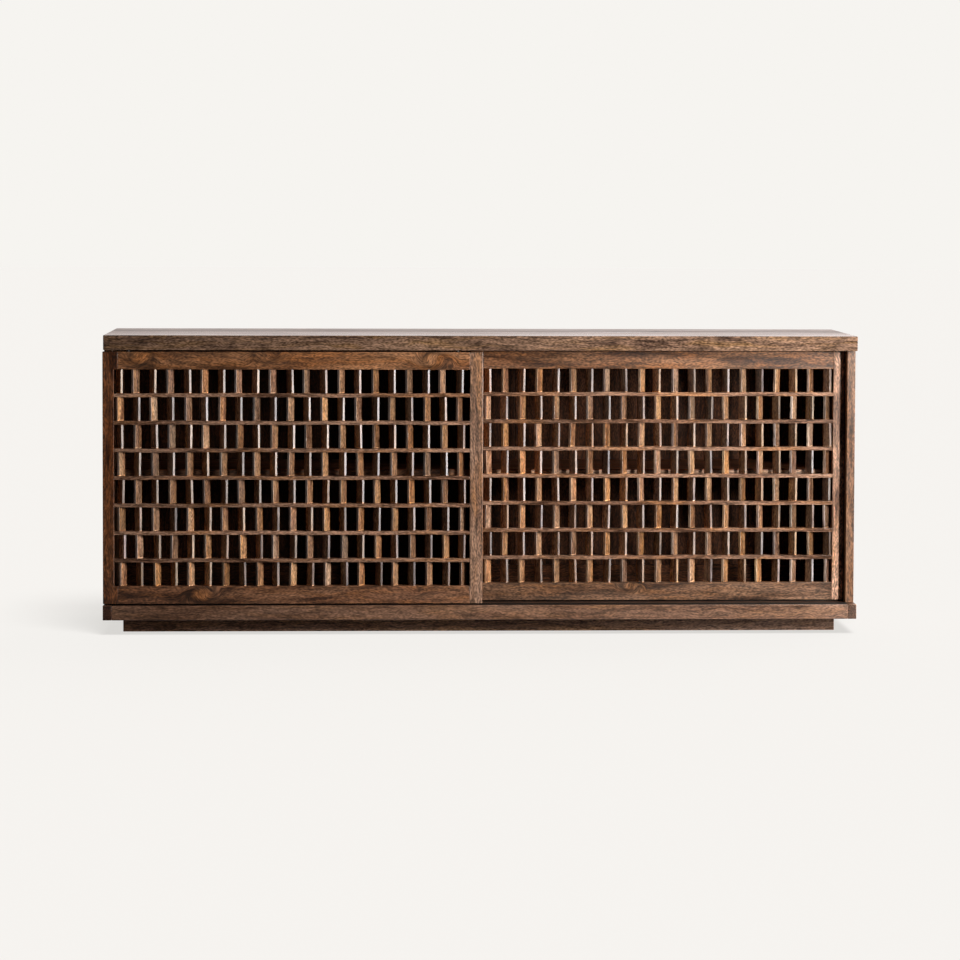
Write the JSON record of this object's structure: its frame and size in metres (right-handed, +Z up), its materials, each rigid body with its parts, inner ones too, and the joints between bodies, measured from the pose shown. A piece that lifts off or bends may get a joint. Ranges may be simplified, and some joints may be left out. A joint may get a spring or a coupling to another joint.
{
  "type": "credenza",
  "caption": "Low timber credenza on a recessed plinth, with lattice doors that slide past each other in front of shelved compartments.",
  "frame": {"origin": "on the floor, under the middle of the cabinet", "axes": "+X to the right along the cabinet's length, +Y from the front to the back, +Z up"},
  "size_m": [1.8, 0.4, 0.714],
  "materials": {
    "frame_wood": "satin lacquer",
    "top_wood": "satin lacquer",
    "end_grain_wood": "matt end grain",
    "slat_wood": "satin lacquer",
    "inner_wood": "matt stain",
    "plinth_wood": "matt stain",
    "track_steel": "dull zinc plate",
    "roller_nylon": "moulded black nylon"
  },
  "bodies": {
    "carcass": {"top_panel": "top_wood", "base_front_rail": "frame_wood", "base_back_rail": "frame_wood", "base_side_rail_left": "end_grain_wood", "base_side_rail_right": "end_grain_wood", "cabinet_floor": "inner_wood", "side_panel_left": "frame_wood", "side_panel_right": "frame_wood", "back_panel": "inner_wood", "back_batten_left": "inner_wood", "back_batten_right": "inner_wood", "centre_divider": "inner_wood", "shelf_left": "inner_wood", "shelf_right": "inner_wood", "plinth_front": "plinth_wood", "plinth_back": "plinth_wood", "plinth_side_left": "plinth_wood", "plinth_side_right": "plinth_wood", "plinth_centre_brace": "plinth_wood", "bottom_track_front": "track_steel", "bottom_track_rear": "track_steel"},
    "front_door": {"front_door_stile_left": "frame_wood", "front_door_stile_right": "frame_wood", "front_door_rail_top": "frame_wood", "front_door_rail_bottom": "frame_wood", "front_lattice_comb_1": "slat_wood", "front_lattice_cross_slat_2": "slat_wood", "front_lattice_comb_3": "slat_wood", "front_lattice_cross_slat_4": "slat_wood", "front_lattice_comb_5": "slat_wood", "front_lattice_cross_slat_6": "slat_wood", "front_lattice_comb_7": "slat_wood", "front_guide_pin_left": "roller_nylon", "front_roller_housing_left": "track_steel", "front_roller_axle_left": "track_steel", "front_guide_pin_right": "roller_nylon", "front_roller_housing_right": "track_steel", "front_roller_axle_right": "track_steel"},
    "front_wheel_left": {"front_roller_wheel_left": "roller_nylon"},
    "front_wheel_right": {"front_roller_wheel_right": "roller_nylon"},
    "rear_door": {"rear_door_stile_left": "frame_wood", "rear_door_stile_right": "frame_wood", "rear_door_rail_top": "frame_wood", "rear_door_rail_bottom": "frame_wood", "rear_lattice_comb_1": "slat_wood", "rear_lattice_cross_slat_2": "slat_wood", "rear_lattice_comb_3": "slat_wood", "rear_lattice_cross_slat_4": "slat_wood", "rear_lattice_comb_5": "slat_wood", "rear_lattice_cross_slat_6": "slat_wood", "rear_lattice_comb_7": "slat_wood", "rear_guide_pin_left": "roller_nylon", "rear_roller_housing_left": "track_steel", "rear_roller_axle_left": "track_steel", "rear_guide_pin_right": "roller_nylon", "rear_roller_housing_right": "track_steel", "rear_roller_axle_right": "track_steel"},
    "rear_wheel_left": {"rear_roller_wheel_left": "roller_nylon"},
    "rear_wheel_right": {"rear_roller_wheel_right": "roller_nylon"}
  },
  "joints": [
    {"name": "front_door_slide", "type": "slide", "parent": "carcass", "child": "front_door", "axis": [1, 0, 0], "range_m": [0, 0.898]},
    {"name": "front_roller_wheel_left_spin", "type": "hinge", "parent": "front_door", "child": "front_wheel_left", "pos_m": [-0.8095, -0.1845, 0.0841], "axis": [0, 1, 0], "continuous": true},
    {"name": "front_roller_wheel_right_spin", "type": "hinge", "parent": "front_door", "child": "front_wheel_right", "pos_m": [-0.0885, -0.1845, 0.0841], "axis": [0, 1, 0], "continuous": true},
    {"name": "rear_door_slide", "type": "slide", "parent": "carcass", "child": "rear_door", "axis": [1, 0, 0], "range_m": [-0.8505, 0]},
    {"name": "rear_roller_wheel_left_spin", "type": "hinge", "parent": "rear_door", "child": "rear_wheel_left", "pos_m": [0.065, -0.1295, 0.0841], "axis": [0, 1, 0], "continuous": true},
    {"name": "rear_roller_wheel_right_spin", "type": "hinge", "parent": "rear_door", "child": "rear_wheel_right", "pos_m": [0.7855, -0.1295, 0.0841], "axis": [0, 1, 0], "continuous": true}
  ],
  "couplings": [
    {"joint": "front_roller_wheel_left_spin", "follows": "front_door_slide", "rad_per_m": 100},
    {"joint": "front_roller_wheel_right_spin", "follows": "front_door_slide", "rad_per_m": 100},
    {"joint": "rear_roller_wheel_left_spin", "follows": "rear_door_slide", "rad_per_m": 100},
    {"joint": "rear_roller_wheel_right_spin", "follows": "rear_door_slide", "rad_per_m": 100}
  ]
}
